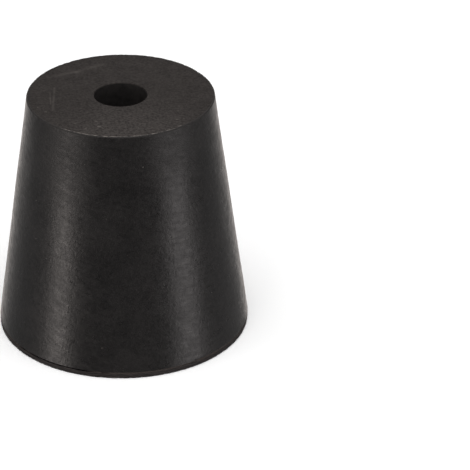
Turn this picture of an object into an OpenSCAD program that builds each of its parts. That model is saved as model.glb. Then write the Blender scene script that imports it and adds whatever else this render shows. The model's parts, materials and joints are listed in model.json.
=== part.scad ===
// One-hole rubber stopper for laboratory glassware, moulded in one piece.
// It stands on its wide end. The origin is the centre of that face, and +Z runs up the hole.
// All sizes are in millimetres.

/* [Body] */
// Diameter of the wide end
wide_d = 24; // [20:0.1:40]
// Diameter of the narrow end
narrow_d = 17.7; // [14:0.1:19]
// Height from face to face
height = 23.8; // [15:0.1:45]

/* [Hole] */
// Diameter of the hole that a glass tube is pushed through
bore_d = 5; // [3:0.1:6]
// Rounding at both mouths of the hole
mouth_r = 0.1; // [0.05:0.05:0.4]

/* [Edges] */
// Rounding of the narrow rim
rim_r = 0.15; // [0.05:0.05:1]
// Rounding of the wide rim
foot_r = 0.1; // [0.05:0.05:0.3]
// Height of the straight strip that the mould leaves at the wide end
land_h = 0.5; // [0.4:0.1:2]
// Width of the parting line above that strip
line_w = 0.14; // [0.06:0.02:0.4]
// Depth of the parting line
line_d = 0.08; // [0.02:0.02:0.3]

/* [Size mark] */
// Height of a numeral
digit_h = 2; // [1.6:0.1:2.4]
// Width of an engraved stroke
stroke_w = 0.26; // [0.2:0.02:0.4]
// Depth of the engraving
mark_depth = 0.18; // [0.05:0.01:0.5]
// Length of the dash between the two numerals
dash_l = 4; // [2:0.5:4.5]
// Gap between the dash and each numeral
dash_gap = 2; // [1:0.5:2.5]
// Distance in from the wide rim to the line that the mark stands on
mark_inset = 3.6; // [3.2:0.1:4]

/* [Hidden] */

rubber = [0.23, 0.22, 0.21];
round_steps = 4;   // straight steps in a quarter turn of a rounded edge
cut_over = 1;      // how far a cutting tool runs past the face that it cuts
$fn = 96;

wide_r = wide_d / 2;
narrow_r = narrow_d / 2;
bore_r = bore_d / 2;
wall_z = land_h + line_w;                                 // where the tapered wall begins
wall_lean = atan((wide_r - narrow_r) / (height - wall_z)); // angle between the wall and the axis

// The mark gives the wide end's diameter in whole millimetres, a numeral on each side of a dash
mark_tens = floor(wide_d / 10);
mark_ones = floor(wide_d) % 10;

// Each numeral is one or more strokes, on a grid 2 wide and 4 high
NUMERALS = [
    [[[0.5, 0], [0, 0.8], [0, 3.2], [0.5, 4], [1.5, 4], [2, 3.2], [2, 0.8], [1.5, 0], [0.5, 0]]],
    [[[0.3, 3.2], [1.1, 4], [1.1, 0]]],
    [[[0, 3.2], [0.5, 4], [1.5, 4], [2, 3.2], [2, 2.5], [0, 0], [2, 0]]],
    [[[0, 4], [2, 4], [0.9, 2.4], [1.5, 2.4], [2, 1.7], [2, 0.7], [1.5, 0], [0.5, 0], [0, 0.7]]],
    [[[2, 1.2], [0, 1.2], [1.5, 4], [1.5, 0]]],
    [[[2, 4], [0.2, 4], [0, 2.3], [1.5, 2.4], [2, 1.8], [2, 0.7], [1.5, 0], [0.5, 0], [0, 0.7]]],
    [[[1.6, 4], [0.4, 2.7], [0, 1.6], [0, 0.7], [0.5, 0], [1.5, 0], [2, 0.7], [2, 1.6], [1.5, 2.3], [0.2, 2.2]]],
    [[[0, 4], [2, 4], [0.7, 0]]],
    [
        [[0.5, 2.2], [0, 3], [0.5, 4], [1.5, 4], [2, 3], [1.5, 2.2], [0.5, 2.2]],
        [[0.5, 2.2], [0, 1.5], [0, 0.7], [0.5, 0], [1.5, 0], [2, 0.7], [2, 1.5], [1.5, 2.2]]
    ],
    [[[0.4, 0], [1.6, 1.3], [2, 2.4], [2, 3.3], [1.5, 4], [0.5, 4], [0, 3.3], [0, 2.4], [0.5, 1.7], [1.8, 1.8]]],
];
GRID_W = 2;
GRID_H = 4;
grid = digit_h / GRID_H;      // size of one grid square
digit_w = GRID_W * grid;

// Points along a rounded edge: from angle start to angle end, about a centre
function round_edge(centre, radius, start, end) = [
    for (i = [0:round_steps])
        let (a = start + (end - start) * i / round_steps)
            centre + radius * [cos(a), sin(a)]
];

// Half of the section, as [distance from the axis, height]. It reaches inside the hole, which is cut later.
module section() {
    // The narrow rim is tangent to the top face and to the leaning wall
    rim_centre = [narrow_r - rim_r * tan(45 + wall_lean / 2), height - rim_r];
    polygon(concat(
        [[0, 0]],
        round_edge([wide_r - foot_r, foot_r], foot_r, -90, 0),
        [[wide_r, land_h], [wide_r - line_d, land_h + line_w / 2], [wide_r, wall_z]],
        round_edge(rim_centre, rim_r, wall_lean, 90),
        [[0, height]]
    ));
}

// Tool that cuts the hole and rounds both of its mouths
module bore_cut() {
    translate([0, 0, -cut_over])
        cylinder(d = bore_d, h = height + 2 * cut_over);
    mouth_cut();
    translate([0, 0, height])
        mirror([0, 0, 1])
            mouth_cut();
}

// Ring that rounds a mouth of the hole which opens downwards at height 0
module mouth_cut() {
    rotate_extrude()
        polygon(concat(
            [[0, -cut_over], [bore_r + mouth_r, -cut_over]],
            round_edge([bore_r + mouth_r, mouth_r], mouth_r, 270, 180),
            [[0, mouth_r]]
        ));
}

// Flat stroke with round ends from point a to point b
module stroke(a, b) {
    run = b - a;
    translate(a) {
        circle(d = stroke_w);
        rotate(atan2(run[1], run[0]))
            translate([0, -stroke_w / 2])
                square([norm(run), stroke_w]);
    }
    translate(b)
        circle(d = stroke_w);
}

// Numeral n, centred on its own width and height
module numeral(n) {
    translate([-digit_w / 2, -digit_h / 2])
        for (line = NUMERALS[n], i = [1:len(line) - 1])
            stroke(grid * line[i - 1], grid * line[i]);
}

// Tool that engraves the size mark in the wide face, to be read from below
module mark_cut() {
    numeral_x = dash_l / 2 + dash_gap;
    rotate([180, 0, 0])
        translate([0, mark_inset - wide_r, -mark_depth])
            linear_extrude(mark_depth + cut_over) {
                translate([-numeral_x, 0])
                    numeral(mark_tens);
                stroke([-dash_l / 2, 0], [dash_l / 2, 0]);
                translate([numeral_x, 0])
                    numeral(mark_ones);
            }
}

module stopper() {
    color(rubber)
        difference() {
            rotate_extrude()
                section();
            bore_cut();
            mark_cut();
        }
}

stopper();
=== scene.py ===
import json
import math

import bmesh
import bpy
from mathutils import Matrix, Vector, noise

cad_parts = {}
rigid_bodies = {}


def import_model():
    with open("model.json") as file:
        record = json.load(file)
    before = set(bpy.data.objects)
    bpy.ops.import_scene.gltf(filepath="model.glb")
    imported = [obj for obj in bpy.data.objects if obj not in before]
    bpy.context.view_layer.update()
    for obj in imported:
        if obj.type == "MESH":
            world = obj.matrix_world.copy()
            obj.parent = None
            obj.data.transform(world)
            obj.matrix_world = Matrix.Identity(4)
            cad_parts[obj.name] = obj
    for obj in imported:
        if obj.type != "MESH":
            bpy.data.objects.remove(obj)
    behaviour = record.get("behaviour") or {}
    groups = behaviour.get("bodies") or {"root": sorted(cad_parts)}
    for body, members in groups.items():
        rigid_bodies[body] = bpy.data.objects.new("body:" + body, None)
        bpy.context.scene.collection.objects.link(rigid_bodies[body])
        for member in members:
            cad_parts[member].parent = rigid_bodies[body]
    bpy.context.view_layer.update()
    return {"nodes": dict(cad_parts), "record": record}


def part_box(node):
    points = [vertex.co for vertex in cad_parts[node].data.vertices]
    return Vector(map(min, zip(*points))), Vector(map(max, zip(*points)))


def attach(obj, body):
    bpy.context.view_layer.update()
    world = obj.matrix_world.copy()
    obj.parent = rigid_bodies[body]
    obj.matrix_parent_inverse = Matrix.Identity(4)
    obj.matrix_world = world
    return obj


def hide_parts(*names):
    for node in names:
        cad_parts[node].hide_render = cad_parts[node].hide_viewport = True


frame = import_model()
mm = 0.001                       # sizes below are in millimetres, and Blender works in metres
low, high = (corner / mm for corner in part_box("stopper"))
up = Vector((0, 0, 1))

# The body, moulded in one piece. Its wide end, narrow end, height and hole come from the frame.
# An unevenness is a pair: how deep it is, and how far apart its lumps are.
body = {
    "segments": 540,             # faces around the axis
    "wallStep": 0.3,             # between rings of the tapered wall
    "faceStep": 0.5,             # between rings of an end face
    "landStep": 0.06,            # between rings of the strip
    "boreStep": 1.5,             # between rings of the hole
    "roundSteps": 5,             # faces across a rounded edge
    "rimRound": 0.15,            # narrow rim
    "footRound": 0.1,            # wide rim
    "mouthRound": 0.1,           # both mouths of the hole
    "landHeight": 0.5,           # straight strip at the wide end
    "lineWidth": 0.14,           # parting line above the strip
    "lineDepth": 0.08,
    "lineClosed": 0.7,           # how much of its depth is pressed shut, away from the dark stretch
    "dirtBearing": -33,          # middle of the dark stretch, in degrees from the front
    "dirtEnd": (0.97, 0.9),      # cosines of the angles off that middle where it starts closing, and is shut
    "wave": (0.03, 6.0),         # slow waves in the wall
    "ripple": (0.006, 0.9),      # finer ones
    "waveStart": 2.0,            # they grow over this height above the strip
    "faceDip": (0.02, 5.0),      # hollows in the narrow face
    "nicks": (0.035, 0.7),       # bites out of both rims and the hole's mouths
    "chips": (0.05, 0.3),        # smaller ones out of the rims
    "biteReach": 0.4,            # how far from a corner they reach
    "mouthShare": 0.6,           # the hole's mouths have this share of the nicks
    "trim": (0.07, 1.6),         # torn layers of the strip, where the flash was trimmed off
    "trimLayers": 9.0,           # how many times longer than high a layer is
    "sharpAngle": 35,            # edges over this many degrees are shaded sharp
}

# The size mark in the wide face: plain numerals for its diameter, on a grid 2 wide and 4 high
mark = {
    "strokes": {
        "2": [(0, 3.2), (0.5, 4), (1.5, 4), (2, 3.2), (2, 2.5), (0, 0), (2, 0)],
        "4": [(2, 1.2), (0, 1.2), (1.5, 4), (1.5, 0)],
    },
    "digitHeight": 2.0,
    "strokeWidth": 0.26,
    "depth": 0.18,
    "dashLength": 4.0,
    "dashGap": 2.0,
    "inset": 3.6,                # in from the wide rim
    "endSteps": 8,               # faces around a stroke's round end
    "runOut": 1.0,               # how far the cutter runs past the face
}


def arcPoints(centre, radius, start, end, steps):
    angles = [math.radians(start + (end - start) * i / steps) for i in range(steps + 1)]
    return [(centre[0] + radius * math.cos(a), centre[1] + radius * math.sin(a)) for a in angles]


def linePoints(start, end, step):
    count = max(1, round(math.dist(start, end) / step))
    return [tuple(a + (b - a) * i / count for a, b in zip(start, end)) for i in range(count + 1)]


def stopperSizes():
    # The narrow end is read off the frame's own top face, and the hole off its mount
    bore = next(m for m in frame["record"]["mounts"] if m["name"] == "bore")
    topLevel = high.z - 0.001                 # lets a rounded-off height still count as the top
    top = [v.co / mm for v in frame["nodes"]["stopper"].data.vertices if v.co.z / mm > topLevel]
    flat = max(math.hypot(p.x, p.y) for p in top)
    wide = (high.x - low.x) / 2
    wallFoot = body["landHeight"] + body["lineWidth"]
    lean = math.atan((wide - flat - body["rimRound"]) / (high.z - wallFoot))
    return {"wide": wide, "flat": flat, "height": high.z, "bore": bore["dims"]["r_mm"],
            "wallFoot": wallFoot, "lean": math.degrees(lean)}


def stopperOutline(size):
    # Half section as strips: the zone that each covers, and its points from the wide face round to the hole
    wide, flat, height, bore = size["wide"], size["flat"], size["height"], size["bore"]
    foot, rim, mouth, steps = body["footRound"], body["rimRound"], body["mouthRound"], body["roundSteps"]
    land, wallFoot, deep = body["landHeight"], size["wallFoot"], body["lineDepth"]
    rimArc = arcPoints((flat, height - rim), rim, size["lean"], 90, steps)
    return [
        ("wideFace", linePoints((bore + mouth, 0), (wide - foot, 0), body["faceStep"])),
        ("foot", arcPoints((wide - foot, foot), foot, -90, 0, steps)),
        ("land", linePoints((wide, foot), (wide, land), body["landStep"])),
        ("line", [(wide, land), (wide - deep, land + (wallFoot - land) / 2), (wide, wallFoot)]),
        ("wall", linePoints((wide, wallFoot), rimArc[0], body["wallStep"])),
        ("rim", rimArc),
        ("narrowFace", linePoints((flat, height), (bore + mouth, height), body["faceStep"])),
        ("mouth", arcPoints((bore + mouth, height - mouth), mouth, 90, 180, steps)),
        ("bore", linePoints((bore, height - mouth), (bore, mouth), body["boreStep"])),
        ("mouth", arcPoints((bore + mouth, mouth), mouth, 180, 270, steps)),
    ]


def fromBearing(bearing, elevation, distance):
    # The bearing is from the front, which is -Y, towards +X. Both angles are in degrees.
    a, e = math.radians(bearing), math.radians(elevation)
    return Vector((math.sin(a) * math.cos(e), -math.cos(a) * math.cos(e), math.sin(e))) * distance


darkStretchSide = fromBearing(body["dirtBearing"], 0, 1)


def uneven(point, shape, salt=0.0):
    # The salt shifts the pattern, so that no two uses of it line up
    deep, wide = shape
    return deep * noise.noise(point / wide + Vector((salt, 0, 0)))


def worn(point, zone, size):
    # Moves a point of the ideal shape the way moulding, trimming and handling moved the real one
    outward = Vector((point.x, point.y, 0)).normalized()
    move = Vector()
    if zone in ("wall", "rim"):
        fade = min(1.0, (point.z - body["landHeight"]) / body["waveStart"])
        move += outward * fade * (uneven(point, body["wave"]) + uneven(point, body["ripple"], 7.0))
    if zone in ("wall", "rim", "narrowFace", "foot", "land"):
        # Both outer corners are bitten, less and less over a short way, so that nothing folds
        top = point.z > high.z / 2
        corner = Vector((size["flat"] + body["rimRound"], high.z) if top else (size["wide"], 0))
        section = Vector((math.hypot(point.x, point.y), point.z))
        near = max(0.0, 1 - (section - corner).length / body["biteReach"])
        bite = max(0.0, uneven(point, body["nicks"], 3.0)) + max(0.0, uneven(point, body["chips"], 19.0))
        move += ((-up if top else up) - outward) * bite * near
    if zone in ("land", "line"):
        layer = Vector((point.x, point.y, point.z * body["trimLayers"]))
        move += outward * min(0.0, uneven(layer, body["trim"], 11.0))
    if zone == "line":
        move += up * uneven(point, body["trim"], 23.0)
        starts, ends = body["dirtEnd"]
        closed = min(1.0, max(0.0, (starts - outward.dot(darkStretchSide)) / (starts - ends)))
        move += outward * (size["wide"] - math.hypot(point.x, point.y)) * closed * body["lineClosed"]
    if zone == "narrowFace":
        move -= up * abs(uneven(point, body["faceDip"]))
    if zone == "mouth":
        fade = (math.hypot(point.x, point.y) - size["bore"]) / body["mouthRound"]
        move += outward * fade * uneven(point, body["nicks"], 31.0) * body["mouthShare"]
    return point + move


# The finish of each zone, in the order of the material slots
finishOf = {"wall": 0, "foot": 0, "narrowFace": 1, "mouth": 1, "wideFace": 2, "rim": 3, "land": 4, "line": 5,
            "bore": 6}


def makeStopper(size):
    rings = []
    for zone, points in stopperOutline(size):
        rings += [(radius, height, zone) for radius, height in points[:-1]]
    count = body["segments"]
    grid = bmesh.new()
    circles = []
    for radius, height, zone in rings:
        circle = []
        for i in range(count):
            turn = 2 * math.pi * i / count
            point = Vector((radius * math.cos(turn), radius * math.sin(turn), height))
            circle.append(grid.verts.new(worn(point, zone, size) * mm))
        circles.append(circle)
    for here, after, (radius, height, zone) in zip(circles, circles[1:] + circles[:1], rings):
        for i in range(count):
            j = (i + 1) % count
            face = grid.faces.new((here[i], here[j], after[j], after[i]))
            face.smooth = True
            face.material_index = finishOf[zone]
    bmesh.ops.recalc_face_normals(grid, faces=grid.faces)
    mesh = bpy.data.meshes.new("rubber_stopper")
    grid.to_mesh(mesh)
    grid.free()
    piece = bpy.data.objects.new("rubber_stopper", mesh)
    bpy.context.scene.collection.objects.link(piece)
    print("stopper body:", len(rings), "rings of", count)
    return piece


def strokePrism(cutter, start, end):
    # One stroke with round ends, as a prism that runs down past the face
    start, end = Vector(start), Vector(end)
    turn = math.atan2(end.y - start.y, end.x - start.x)
    half, steps = mark["strokeWidth"] / 2, mark["endSteps"]
    outline = []
    for centre, first in ((end, turn - math.pi / 2), (start, turn + math.pi / 2)):
        for i in range(steps + 1):
            a = first + math.pi * i / steps
            outline.append((centre.x + half * math.cos(a), centre.y + half * math.sin(a)))
    floor = [cutter.verts.new((x * mm, y * mm, mark["depth"] * mm)) for x, y in outline]
    mouth = [cutter.verts.new((x * mm, y * mm, -mark["runOut"] * mm)) for x, y in outline]
    cutter.faces.new(floor)
    cutter.faces.new(reversed(mouth))
    for i in range(len(outline)):
        j = (i + 1) % len(outline)
        cutter.faces.new((floor[i], mouth[i], mouth[j], floor[j]))


def engraveMark(piece, size):
    # The mark reads from below, so its Y runs the other way. It is moulded, so it has the wall's skin.
    grid = mark["digitHeight"] / 4
    line = size["wide"] - mark["inset"]
    numeralX = mark["dashLength"] / 2 + mark["dashGap"]
    strokes = [((-mark["dashLength"] / 2, line), (mark["dashLength"] / 2, line))]
    for digit, middle in (("2", -numeralX), ("4", numeralX)):
        points = [(middle + (x - 1) * grid, line - (y - 2) * grid) for x, y in mark["strokes"][digit]]
        strokes += list(zip(points, points[1:]))
    cutter = bmesh.new()
    for start, end in strokes:
        strokePrism(cutter, start, end)
    bmesh.ops.recalc_face_normals(cutter, faces=cutter.faces)
    mesh = bpy.data.meshes.new("mark_cutter")
    cutter.to_mesh(mesh)
    cutter.free()
    tool = bpy.data.objects.new("mark_cutter", mesh)
    bpy.context.scene.collection.objects.link(tool)
    cut = piece.modifiers.new("size mark", "BOOLEAN")
    cut.operation = "DIFFERENCE"
    cut.solver = "EXACT"
    cut.use_self = True
    cut.object = tool
    bpy.context.view_layer.update()
    finished = bpy.data.meshes.new_from_object(piece.evaluated_get(bpy.context.evaluated_depsgraph_get()))
    piece.modifiers.clear()
    piece.data = finished
    bpy.data.objects.remove(tool)
    print("size mark:", len(strokes), "strokes engraved")


# How the rubber looks. Colours are sRGB, and each pattern has the size of its features.
# Noise values lie around 0.5, and a spread is the pair of them between which one look changes to the other.
look = {
    "ior": 1.52,                             # black rubber with its carbon
    "skin": ("#0a090a", "#1b1919"),          # the moulded wall, clean and where bloom clouds it
    "gloss": "#fffaf6",                      # the bloom warms its gloss a little
    "skinRoughness": (0.27, 0.42),           # wiped and smudged
    "handled": 0.17,                         # how much rougher the wall is where finger and thumb hold it,
    "handledAt": 5.3,                        # this far to either side of the middle,
    "handledFade": (1.8, 3.7),               # fading between these distances from there,
    "handledFrom": (0.5, 0.7),               # from these shares of the height up, at the left and the right
    "cloudSize": 3.5,                        # slow clouds in the bloom
    "smudgeSize": 0.6,                       # smudges in its shine
    "bloomSize": 0.36,                       # crumbs of bloom, drawn coarser than they are so that they show
    "streakSize": 0.3,                       # width of the wiping streaks, which run nearly level
    "streakLength": 5.0,                     # times as long as wide
    "streakTurn": (0.25, 0.3, 0.0),          # their slant about X and Y, in radians
    "skinSpread": (0.75, 1.25),              # for two patterns added together
    "skinRelief": 0.023,                     # height of the crumbs
    "smudgeRelief": 0.5,                     # that of the smudges, as a share of it
    "streakRelief": (0.25, 6.5),             # and of the streaks: untouched, and more for each 1 of handling
    "ground": ("#1f1c1b", "#3f3b39"),        # the ground end faces, in and on their grain
    "grainSize": 0.25,                       # drawn twice as coarse as the grit, so that it shows
    "patchSize": 1.3,                        # patches of the grinding
    "patchShare": 0.35,                      # how strongly they show
    "groundSpread": (-0.15, 0.65),
    "groundRelief": 0.012,                   # height of the grain
    "grindings": (0.5, -8.5),                # painted light: the narrow face is painted paler towards the front, most of all here,
    "grindingsReach": 9.5,                   # fading out to this far from there,
    "grindingsTone": 0.32,                   # how much paler it is there,
    "grainTone": (1.3, 5.0),                 # and how strong the grain is: bare, and more for each 1 of painted light
    "markSpread": (0.35, 0.6),               # the marks of handling break up with the patches,
    "markLeast": 0.5,                        # down to this share of their strength
    "edge": ("#242120", "#6f6963"),          # the rim, sound, and pale where worn and where a highlight is painted
    "rubSize": 0.7,                          # length of the pale stretches
    "rubBearing": -4,                        # where the painted highlight is strongest, in degrees from the front
    "rubReach": (5.6, 7.8),                  # how far out that way the painted highlight starts, and is full
    "rubTone": (0.08, 0.37),                 # what the painted highlight adds to the pale pattern, at the least and the most
    "rubSpread": (0.74, 0.94),
    "rubCrest": (0.6, 0.1),                  # they fade in between these shares of the rounding below the top
    "torn": ("#151211", "#322b29"),          # the trimmed strip
    "tornSize": 1.2,                         # length of its torn layers
    "tornLayers": 10.0,                      # times as long as high
    "tornSpread": (0.35, 0.65),
    "crevice": ("#3c3633", "#070606"),       # the parting line: painted paler than the strip to offset the groove's own shade, and darker along one stretch
    "dirtFrom": (12.4, 13.2),                # how far out towards the dark stretch it starts darkening, and is full,
    "dirtRagged": 3.0,                       # with ends this ragged,
    "dirtSize": 0.7,                         # in patches of this size
    "bore": ("#1c1a19", "#2b2827"),          # the hole
    "boreSize": 0.6,                         # patches in it
    "boreSpread": (0.3, 0.7),
    "dust": "#625d59",                       # pale specks stuck anywhere
    "speckGap": 1.5,                         # between specks
    "speckSize": (0.04, 0.015),              # where one starts and is full, as shares of the gap
    "dullRelief": 0.02,                      # of the torn strip and of the hole
}

# Marks of handling on the narrow face: from, to, width and strength. The short ones are specks.
faceMarks = [
    ((-6.7, 4.0), (-4.2, 5.0), 0.4, 0.2),
    ((-4.2, 5.0), (-1.6, 6.6), 0.4, 0.17),
    ((-6.2, 1.6), (-6.3, -3.1), 0.15, 0.25),
    ((-6.6, 0.5), (-6.5, -1.8), 0.12, 0.25),
    ((-7.0, -3.4), (-6.9, -3.4), 0.12, 0.8),
    ((-4.3, -5.9), (-4.2, -5.9), 0.12, 0.6),
    ((-2.3, -5.6), (-2.2, -5.6), 0.11, 0.7),
    ((-2.1, -6.6), (-1.9, -6.6), 0.15, 1.0),
    ((-3.3, -7.0), (-3.2, -7.0), 0.1, 0.6),
    ((2.8, -7.0), (2.9, -7.0), 0.1, 0.6),
    ((5.1, -5.4), (5.2, -5.4), 0.11, 0.7),
    ((5.3, -6.8), (5.5, -6.7), 0.14, 1.0),
    ((4.2, -7.6), (4.6, -7.4), 0.12, 0.8),
    ((-4.0, -7.7), (-3.4, -8.0), 0.15, 0.7),
]


def linear(hexColour):
    parts = [int(hexColour[i:i + 2], 16) / 255 for i in (1, 3, 5)]
    return [c / 12.92 if c <= 0.04045 else ((c + 0.055) / 1.055) ** 2.4 for c in parts] + [1.0]


def perMetre(size):
    return 1 / (size * mm)        # texture scale that gives features of this many millimetres


def addNode(tree, kind, settings, links=None):
    node = tree.nodes.new(kind)
    for name, value in settings.items():
        if isinstance(name, int) or name in node.inputs:
            node.inputs[name].default_value = value
        else:
            setattr(node, name, value)
    for name, socket in (links or {}).items():
        tree.links.new(node.inputs[name], socket)
    return node


def newMaterial(name, settings):
    material = bpy.data.materials.new(name)
    material.use_nodes = True
    tree = material.node_tree
    shader = tree.nodes["Principled BSDF"]
    for socket, value in settings.items():
        shader.inputs[socket].default_value = value
    place = addNode(tree, "ShaderNodeTexCoord", {}).outputs["Object"]
    return material, tree, shader, place


def fadeBetween(tree, value, pair, colours):
    # One colour below the pair of values and the other above, with a soft change between them
    share = addNode(tree, "ShaderNodeMapRange", {"From Min": pair[0], "From Max": pair[1]}, {"Value": value})
    mix = addNode(tree, "ShaderNodeMix", {"data_type": "RGBA"}, {0: share.outputs["Result"]})
    for slot, colour in zip((6, 7), colours):
        if isinstance(colour, str):
            mix.inputs[slot].default_value = linear(colour)
        else:
            tree.links.new(mix.inputs[slot], colour)
    return mix.outputs[2]


def dusted(tree, place, colour):
    # Sparse pale specks: the heart of each cell of a coarse cell pattern
    cells = addNode(tree, "ShaderNodeTexVoronoi", {"Scale": perMetre(look["speckGap"])}, {"Vector": place})
    return fadeBetween(tree, cells.outputs["Distance"], look["speckSize"], (colour, look["dust"]))


def strokeMask(tree, place, start, end, width, strength):
    # Strength on the line between two points of an end face, 0 past the width
    a = Vector((*start, 0)) * mm
    run = Vector((*end, 0)) * mm - a
    flat = addNode(tree, "ShaderNodeVectorMath", {"operation": "MULTIPLY", 1: (1, 1, 0)}, {0: place})
    offset = addNode(tree, "ShaderNodeVectorMath", {"operation": "SUBTRACT", 1: a}, {0: flat.outputs[0]})
    along = addNode(tree, "ShaderNodeVectorMath", {"operation": "DOT_PRODUCT", 1: run / run.length_squared},
                    {0: offset.outputs[0]})
    held = addNode(tree, "ShaderNodeMapRange", {}, {"Value": along.outputs["Value"]})
    nearest = addNode(tree, "ShaderNodeVectorMath", {"operation": "SCALE", 0: run},
                      {"Scale": held.outputs["Result"]})
    away = addNode(tree, "ShaderNodeVectorMath", {"operation": "DISTANCE"},
                   {0: offset.outputs[0], 1: nearest.outputs[0]})
    mask = addNode(tree, "ShaderNodeMapRange", {"From Max": width * mm, "To Min": strength, "To Max": 0.0},
                   {"Value": away.outputs["Value"]})
    return mask.outputs["Result"]


def mouldedSkin():
    # Black vulcanised rubber from a polished mould: satin, with a dusty bloom that mottles its highlights
    material, tree, shader, place = newMaterial("moulded_black_rubber", {
        "IOR": look["ior"], "Specular IOR Level": 0.52, "Specular Tint": linear(look["gloss"])})
    cloud = addNode(tree, "ShaderNodeTexNoise", {"Scale": perMetre(look["cloudSize"]), "Detail": 4.0},
                    {"Vector": place})
    smudge = addNode(tree, "ShaderNodeTexNoise",
                     {"Scale": perMetre(look["smudgeSize"]), "Detail": 3.0, "Roughness": 0.7},
                     {"Vector": place})
    bloom = addNode(tree, "ShaderNodeTexNoise",
                    {"Scale": perMetre(look["bloomSize"]), "Detail": 2.0, "Roughness": 0.7},
                    {"Vector": place})
    slant = addNode(tree, "ShaderNodeMapping",
                    {"vector_type": "TEXTURE", "Rotation": look["streakTurn"],
                     "Scale": (look["streakLength"], look["streakLength"], 1.0)},
                    {"Vector": place})
    streaks = addNode(tree, "ShaderNodeTexNoise", {"Scale": perMetre(look["streakSize"]), "Detail": 2.0},
                      {"Vector": slant.outputs["Vector"]})
    wiped = addNode(tree, "ShaderNodeMath", {"operation": "ADD"},
                    {0: streaks.outputs["Fac"], 1: smudge.outputs["Fac"]})
    dirt = addNode(tree, "ShaderNodeMath", {"operation": "ADD"},
                   {0: cloud.outputs["Fac"], 1: bloom.outputs["Fac"]})
    colour = fadeBetween(tree, dirt.outputs["Value"], look["skinSpread"], look["skin"])
    tree.links.new(shader.inputs["Base Color"], dusted(tree, place, colour))
    split = addNode(tree, "ShaderNodeSeparateXYZ", {}, {"Vector": place})
    across = addNode(tree, "ShaderNodeMath", {"operation": "ABSOLUTE"}, {0: split.outputs["X"]})
    aside = addNode(tree, "ShaderNodeMath", {"operation": "SUBTRACT", 1: look["handledAt"] * mm},
                    {0: across.outputs["Value"]})
    away = addNode(tree, "ShaderNodeMath", {"operation": "ABSOLUTE"}, {0: aside.outputs["Value"]})
    inner, outer = look["handledFade"]
    reached = addNode(tree, "ShaderNodeMapRange", {
        "interpolation_type": "SMOOTHSTEP", "From Min": inner * mm, "From Max": outer * mm,
        "To Min": look["handled"], "To Max": 0.0}, {"Value": away.outputs["Value"]})
    left, right = look["handledFrom"]
    start = addNode(tree, "ShaderNodeMapRange", {
        "From Min": -look["handledAt"] * mm, "From Max": look["handledAt"] * mm,
        "To Min": left * high.z * mm, "To Max": right * high.z * mm}, {"Value": split.outputs["X"]})
    handled = addNode(tree, "ShaderNodeMapRange", {
        "interpolation_type": "SMOOTHSTEP", "From Max": high.z * mm},
        {"Value": split.outputs["Z"], "From Min": start.outputs["Result"],
         "To Max": reached.outputs["Result"]})
    least, most = look["skinSpread"]
    shiny, matt = look["skinRoughness"]
    rough = addNode(tree, "ShaderNodeMapRange", {
        "From Min": least, "From Max": most, "To Min": shiny, "To Max": matt},
        {"Value": wiped.outputs["Value"]})
    both = addNode(tree, "ShaderNodeMath", {"operation": "ADD"},
                   {0: rough.outputs["Result"], 1: handled.outputs["Result"]})
    tree.links.new(shader.inputs["Roughness"], both.outputs["Value"])
    everywhere, held = look["streakRelief"]
    combed = addNode(tree, "ShaderNodeMath", {"operation": "MULTIPLY_ADD", 1: held, 2: everywhere},
                     {0: handled.outputs["Result"]})
    lines = addNode(tree, "ShaderNodeMath", {"operation": "MULTIPLY_ADD"},
                    {0: combed.outputs["Value"], 1: streaks.outputs["Fac"], 2: bloom.outputs["Fac"]})
    lumps = addNode(tree, "ShaderNodeMath", {"operation": "MULTIPLY_ADD", 1: look["smudgeRelief"]},
                    {0: smudge.outputs["Fac"], 2: lines.outputs["Value"]})
    bump = addNode(tree, "ShaderNodeBump", {"Distance": look["skinRelief"] * mm},
                   {"Height": lumps.outputs["Value"]})
    tree.links.new(shader.inputs["Normal"], bump.outputs["Normal"])
    return material


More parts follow.
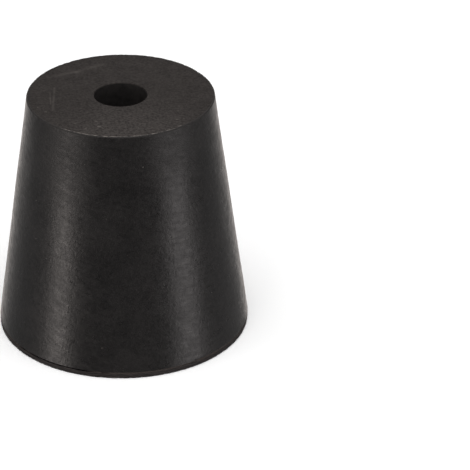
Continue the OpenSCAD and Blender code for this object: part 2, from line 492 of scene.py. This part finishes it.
def groundFace(name, marks):
    # End face of the same rubber, ground flat: matt, paler and browner than the skin, with a fine grain
    material, tree, shader, place = newMaterial(name, {
        "IOR": look["ior"], "Specular IOR Level": 0.12, "Roughness": 0.9})
    grain = addNode(tree, "ShaderNodeTexNoise",
                    {"Scale": perMetre(look["grainSize"]), "Detail": 3.0, "Roughness": 0.7},
                    {"Vector": place})
    patch = addNode(tree, "ShaderNodeTexNoise", {"Scale": perMetre(look["patchSize"]), "Detail": 3.0},
                    {"Vector": place})
    # Painted light: the narrow face is made paler towards its front, as if lit from there, and its grain
    # shows more there
    lightSpot = Vector((*look["grindings"], high.z)) * mm
    front = addNode(tree, "ShaderNodeVectorMath", {"operation": "DISTANCE", 1: lightSpot}, {0: place})
    thick = addNode(tree, "ShaderNodeMapRange", {
        "interpolation_type": "SMOOTHSTEP", "From Max": look["grindingsReach"] * mm,
        "To Min": look["grindingsTone"], "To Max": 0.0}, {"Value": front.outputs["Value"]})
    coarse = addNode(tree, "ShaderNodeMath", {"operation": "MULTIPLY_ADD", 1: look["patchShare"]},
                     {0: patch.outputs["Fac"], 2: thick.outputs["Result"]})
    level = addNode(tree, "ShaderNodeMath", {"operation": "SUBTRACT", 1: 0.5}, {0: grain.outputs["Fac"]})
    bare, dusty = look["grainTone"]
    contrast = addNode(tree, "ShaderNodeMath", {"operation": "MULTIPLY_ADD", 1: dusty, 2: bare},
                       {0: thick.outputs["Result"]})
    tone = addNode(tree, "ShaderNodeMath", {"operation": "MULTIPLY_ADD"},
                   {0: level.outputs["Value"], 1: contrast.outputs["Value"], 2: coarse.outputs["Value"]})
    colour = fadeBetween(tree, tone.outputs["Value"], look["groundSpread"], look["ground"])
    faint, clear = look["markSpread"]
    broken = addNode(tree, "ShaderNodeMapRange",
                     {"From Min": faint, "From Max": clear, "To Min": look["markLeast"]},
                     {"Value": patch.outputs["Fac"]})
    for start, end, width, strength in marks:
        mask = strokeMask(tree, place, start, end, width, strength)
        faded = addNode(tree, "ShaderNodeMath", {"operation": "MULTIPLY"},
                        {0: mask, 1: broken.outputs["Result"]})
        colour = fadeBetween(tree, faded.outputs["Value"], (0.0, 1.0), (colour, look["dust"]))
    tree.links.new(shader.inputs["Base Color"], dusted(tree, place, colour))
    bump = addNode(tree, "ShaderNodeBump", {"Distance": look["groundRelief"] * mm},
                   {"Height": grain.outputs["Fac"]})
    tree.links.new(shader.inputs["Normal"], bump.outputs["Normal"])
    return material


def patchyFinish(name, colours, pattern, stretch, spread, settings):
    # The finishes that need only two colours in a pattern, which may be stretched around the axis
    material, tree, shader, place = newMaterial(name, settings)
    drawn = addNode(tree, "ShaderNodeVectorMath", {"operation": "MULTIPLY", 1: (1, 1, stretch)}, {0: place})
    spots = addNode(tree, "ShaderNodeTexNoise", {"Scale": perMetre(pattern), "Detail": 4.0, "Roughness": 0.6},
                    {"Vector": drawn.outputs[0]})
    tree.links.new(shader.inputs["Base Color"], fadeBetween(tree, spots.outputs["Fac"], spread, colours))
    bump = addNode(tree, "ShaderNodeBump", {"Distance": look["dullRelief"] * mm},
                   {"Height": spots.outputs["Fac"]})
    tree.links.new(shader.inputs["Normal"], bump.outputs["Normal"])
    return material


def paleRimWearAndHighlight():
    # The sharp narrow rim: a hairline along its top is pale, partly from wear and partly a painted highlight,
    # strongest at the front
    material, tree, shader, place = newMaterial("rubbed_black_rubber", {
        "IOR": look["ior"], "Specular IOR Level": 0.3, "Roughness": 0.7})
    split = addNode(tree, "ShaderNodeSeparateXYZ", {}, {"Vector": place})
    lower, upper = ((high.z - body["rimRound"] * share) * mm for share in look["rubCrest"])
    crest = addNode(tree, "ShaderNodeMapRange", {"From Min": lower, "From Max": upper},
                    {"Value": split.outputs["Z"]})
    # painted highlight: the pale hairline is made stronger towards the front
    litSide = fromBearing(look["rubBearing"], 0, 1)
    side = addNode(tree, "ShaderNodeVectorMath", {"operation": "DOT_PRODUCT", 1: litSide}, {0: place})
    starts, thick = look["rubReach"]
    least, most = look["rubTone"]
    front = addNode(tree, "ShaderNodeMapRange", {
        "From Min": starts * mm, "From Max": thick * mm, "To Min": least, "To Max": most},
        {"Value": side.outputs["Value"]})
    spots = addNode(tree, "ShaderNodeTexNoise",
                    {"Scale": perMetre(look["rubSize"]), "Detail": 4.0, "Roughness": 0.85}, {"Vector": place})
    wornAndLit = addNode(tree, "ShaderNodeMath", {"operation": "ADD"},
                     {0: spots.outputs["Fac"], 1: front.outputs["Result"]})
    paleWearAndHighlight = addNode(tree, "ShaderNodeMath", {"operation": "MULTIPLY"},
                   {0: wornAndLit.outputs["Value"], 1: crest.outputs["Result"]})
    colour = fadeBetween(tree, paleWearAndHighlight.outputs["Value"], look["rubSpread"], look["edge"])
    tree.links.new(shader.inputs["Base Color"], colour)
    return material


def partingLine():
    # The groove between the two halves of the mould: dull, and darker along one stretch only. Elsewhere it is
    # painted paler to offset the groove's own shade.
    material, tree, shader, place = newMaterial("parting_line_rubber", {
        "IOR": look["ior"], "Specular IOR Level": 0.1, "Roughness": 0.9})
    side = addNode(tree, "ShaderNodeVectorMath", {"operation": "DOT_PRODUCT", 1: darkStretchSide}, {0: place})
    spots = addNode(tree, "ShaderNodeTexNoise", {"Scale": perMetre(look["dirtSize"]), "Detail": 3.0},
                    {"Vector": place})
    reach = addNode(tree, "ShaderNodeMath", {"operation": "MULTIPLY_ADD", 1: look["dirtRagged"] * mm},
                    {0: spots.outputs["Fac"], 2: side.outputs["Value"]})
    ends = [out * mm for out in look["dirtFrom"]]
    darkened = fadeBetween(tree, reach.outputs["Value"], ends, look["crevice"])
    tree.links.new(shader.inputs["Base Color"], darkened)
    return material


def makeFinishes():
    return [
        mouldedSkin(),
        groundFace("ground_black_rubber_narrow_end", faceMarks),
        groundFace("ground_black_rubber_wide_end", []),
        paleRimWearAndHighlight(),
        # Where the flash was trimmed off the rubber is torn in thin layers, dull and slightly brown
        patchyFinish("torn_black_rubber", look["torn"], look["tornSize"], look["tornLayers"],
                     look["tornSpread"], {"IOR": look["ior"], "Specular IOR Level": 0.3, "Roughness": 0.7}),
        partingLine(),
        # The hole came off a steel pin: dull, and free of dust
        patchyFinish("bore_black_rubber", look["bore"], look["boreSize"], 1.0,
                     look["boreSpread"], {"IOR": look["ior"], "Specular IOR Level": 0.3, "Roughness": 0.6}),
    ]


# Plain soft light. A box has its bearing and elevation seen from the stopper, its distance, width and height
# in metres, its brightness and its colour.
studio = {
    "floorColour": "#f6f6f6",
    "floorSize": 1.6,
    "floorGlow": (0.08, 0.22),   # light that comes through the card from below, under the stopper and far off
    "glowReach": (0.12, 0.28),   # metres from the stopper between which it rises
    "roomFront": 0.17,           # brightness of the room behind the camera
    "roomBack": 0.22,            # and of the rest of it
    "roomTurn": (-0.6, 0.2),     # Y of the direction in which one starts to change to the other, and has
    "roomShown": 1.0,            # as the camera sees it
    "softBoxes": {
        "top_box": (0, 80, 3.0, 2.67, 2.67, 4.2, "#ffffff"),
        "left_strip": (-62, 0, 0.25, 0.055, 0.30, 3.67, "#fffaf8"),
        "right_strip": (59, 0, 0.25, 0.10, 0.30, 1.8, "#fefcff"),
        "back_box": (180, -5, 0.3, 0.35, 0.32, 0.95, "#fff6f0"),
        "back_wide": (180, -5, 0.3, 1.10, 0.32, 0.25, "#fff8f3"),
    },
}

# Where the camera stands in front of the stopper, and how it is turned away from the stopper's middle
view = {
    "lens": 230,
    "sensor": 36,
    "distance": 286.8,
    "elevation": 28.237,         # degrees, like the turns
    "pan": 2.137,
    "tilt": -0.58,
    "roll": 0.951,
    "clip": (0.01, 20),          # metres
}


def addSoftBox(name, bearing, elevation, distance, width, height, brightness, colour, target):
    data = bpy.data.lights.new(name, "AREA")
    data.shape = "RECTANGLE"
    data.size, data.size_y = width, height
    data.energy = brightness * math.pi * width * height
    data.color = linear(colour)[:3]
    lamp = bpy.data.objects.new(name, data)
    lamp.location = target + fromBearing(bearing, elevation, distance)
    lamp.rotation_euler = (target - lamp.location).to_track_quat("-Z", "Y").to_euler()
    lamp.visible_camera = False
    bpy.context.scene.collection.objects.link(lamp)


def addFloor():
    half = studio["floorSize"] / 2
    corners = ((-half, -half), (half, -half), (half, half), (-half, half))
    grid = bmesh.new()
    grid.faces.new([grid.verts.new((x, y, 0)) for x, y in corners])
    mesh = bpy.data.meshes.new("floor")
    grid.to_mesh(mesh)
    grid.free()
    floor = bpy.data.objects.new("floor", mesh)
    bpy.context.scene.collection.objects.link(floor)
    material, tree, shader, place = newMaterial("white_card", {
        "Base Color": linear(studio["floorColour"]), "Roughness": 0.9, "Specular IOR Level": 0.0,
        "Emission Color": (1, 1, 1, 1)})
    away = addNode(tree, "ShaderNodeVectorMath", {"operation": "LENGTH"}, {0: place})
    near, far = studio["glowReach"]
    faint, strong = studio["floorGlow"]
    glow = addNode(tree, "ShaderNodeMapRange", {
        "interpolation_type": "SMOOTHSTEP", "From Min": near, "From Max": far,
        "To Min": faint, "To Max": strong}, {"Value": away.outputs["Value"]})
    tree.links.new(shader.inputs["Emission Strength"], glow.outputs["Result"])
    mesh.materials.append(material)
    floor.visible_glossy = False              # the card is thin, so the boxes shine on through it,
    floor.visible_shadow = False              # and the rubber's gloss shows them and not the card


def addRoom():
    world = bpy.data.worlds.new("studio")
    bpy.context.scene.world = world
    world.use_nodes = True
    tree = world.node_tree
    tree.nodes.clear()
    bearing = addNode(tree, "ShaderNodeTexCoord", {})
    split = addNode(tree, "ShaderNodeSeparateXYZ", {}, {"Vector": bearing.outputs["Generated"]})
    starts, ends = studio["roomTurn"]
    glow = addNode(tree, "ShaderNodeMapRange", {
        "From Min": starts, "From Max": ends, "To Min": studio["roomFront"], "To Max": studio["roomBack"]},
        {"Value": split.outputs["Y"]})
    lit = addNode(tree, "ShaderNodeBackground", {"Color": (1, 1, 1, 1)}, {"Strength": glow.outputs["Result"]})
    shown = addNode(tree, "ShaderNodeBackground", {"Color": (1, 1, 1, 1), "Strength": studio["roomShown"]})
    path = addNode(tree, "ShaderNodeLightPath", {})
    both = addNode(tree, "ShaderNodeMixShader", {}, {
        "Fac": path.outputs["Is Camera Ray"], 1: lit.outputs[0], 2: shown.outputs[0]})
    addNode(tree, "ShaderNodeOutputWorld", {}, {"Surface": both.outputs[0]})


def addCamera(middle):
    data = bpy.data.cameras.new("camera")
    data.lens = view["lens"]
    data.sensor_width = view["sensor"]
    data.clip_start, data.clip_end = view["clip"]
    camera = bpy.data.objects.new("camera", data)
    bpy.context.scene.collection.objects.link(camera)
    place = middle + fromBearing(0, view["elevation"], view["distance"] * mm)
    aim = (middle - place).to_track_quat("-Z", "Y").to_matrix()
    turn = (Matrix.Rotation(math.radians(-view["pan"]), 3, "Y")
            @ Matrix.Rotation(math.radians(view["tilt"]), 3, "X")
            @ Matrix.Rotation(math.radians(-view["roll"]), 3, "Z"))
    camera.matrix_world = Matrix.Translation(place) @ (aim @ turn).to_4x4()
    bpy.context.scene.camera = camera


size = stopperSizes()
middle = Vector((0, 0, size["height"] / 2)) * mm
addCamera(middle)
stopper = makeStopper(size)
engraveMark(stopper, size)
stopper.data.set_sharp_from_angle(angle=math.radians(body["sharpAngle"]))
for finish in makeFinishes():
    stopper.data.materials.append(finish)
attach(stopper, "root")
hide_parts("stopper")
print("finishes:", ", ".join(m.name for m in stopper.data.materials))

addFloor()
addRoom()
for name, values in studio["softBoxes"].items():
    addSoftBox(name, *values, middle)
bpy.context.scene.view_settings.view_transform = "Standard"
print("studio:", len(studio["softBoxes"]), "soft boxes")
